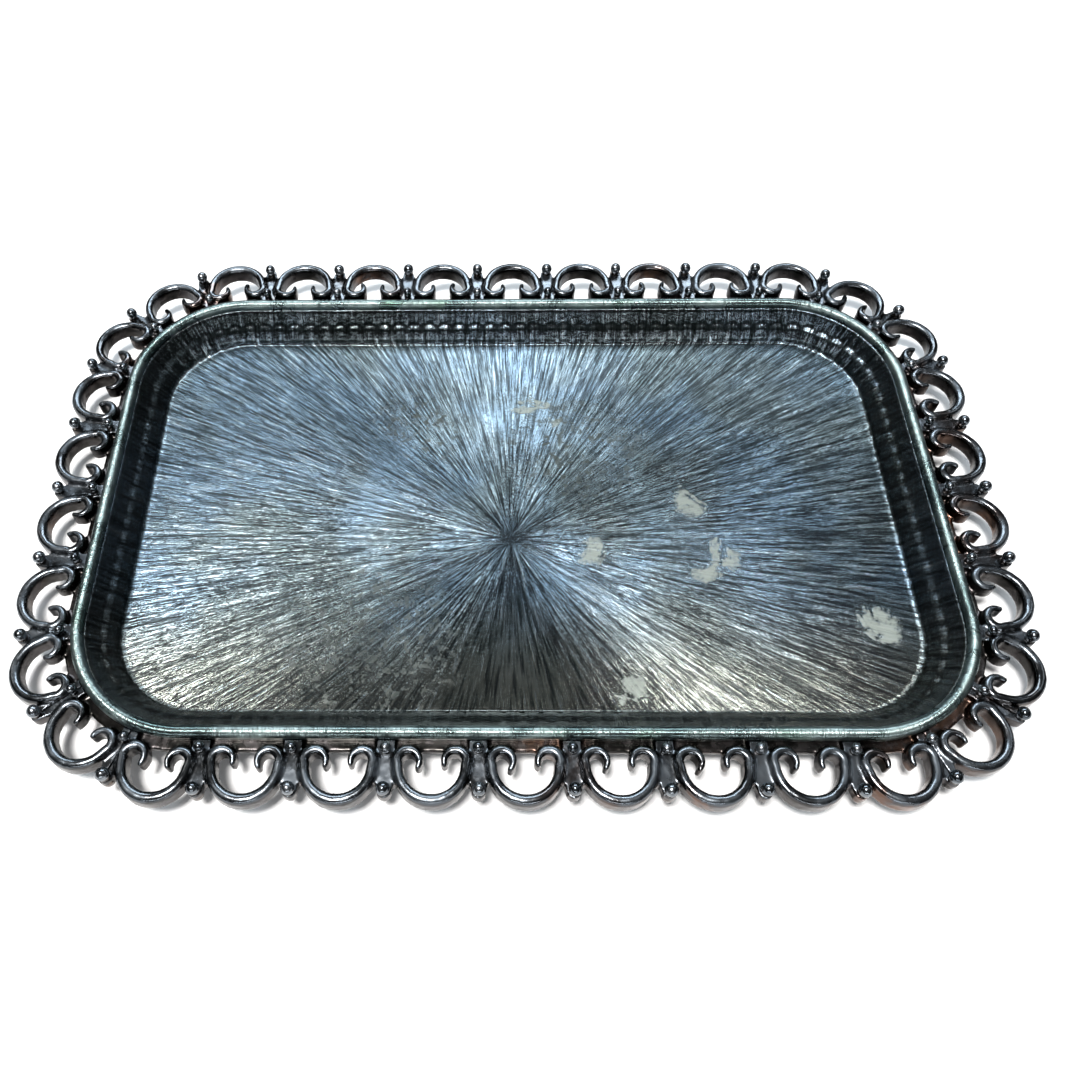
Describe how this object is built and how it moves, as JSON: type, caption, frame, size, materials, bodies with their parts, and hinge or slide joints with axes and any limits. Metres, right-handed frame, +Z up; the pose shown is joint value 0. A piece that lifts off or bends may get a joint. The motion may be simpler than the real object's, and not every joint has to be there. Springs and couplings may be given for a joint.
{
  "type": "dresser vanity tray",
  "caption": "Low rectangular dresser vanity tray with rounded corners: a flared metal pan, a moulded rim and a flat openwork border of C-scrolls and beads.",
  "frame": {"origin": "under the middle of the tray, on the surface it stands on", "axes": "+X along the tray's length, to the right as seen from the front; +Y towards the back; +Z up"},
  "size_m": [0.2788, 0.1838, 0.0146],
  "materials": {
    "pan_plate": "tarnished silver plate with a sunburst of fine radial creases, dull patches and pitting",
    "rim_plate": "worn silver plate with fine cross lines",
    "gallery_plate": "dark tarnished silver plate, bright on its high edges and coppery brown in its recesses",
    "bead_plate": "polished, slightly tarnished silver plate"
  },
  "bodies": {
    "root": {"pan": "pan_plate", "rim_moulding": "rim_plate", "front_gallery": "gallery_plate", "back_gallery": "gallery_plate", "left_gallery": "gallery_plate", "right_gallery": "gallery_plate", "front_left_corner": "gallery_plate", "front_right_corner": "gallery_plate", "back_left_corner": "gallery_plate", "back_right_corner": "gallery_plate", "outer_beads": "bead_plate", "inner_beads": "bead_plate"}
  },
  "joints": []
}
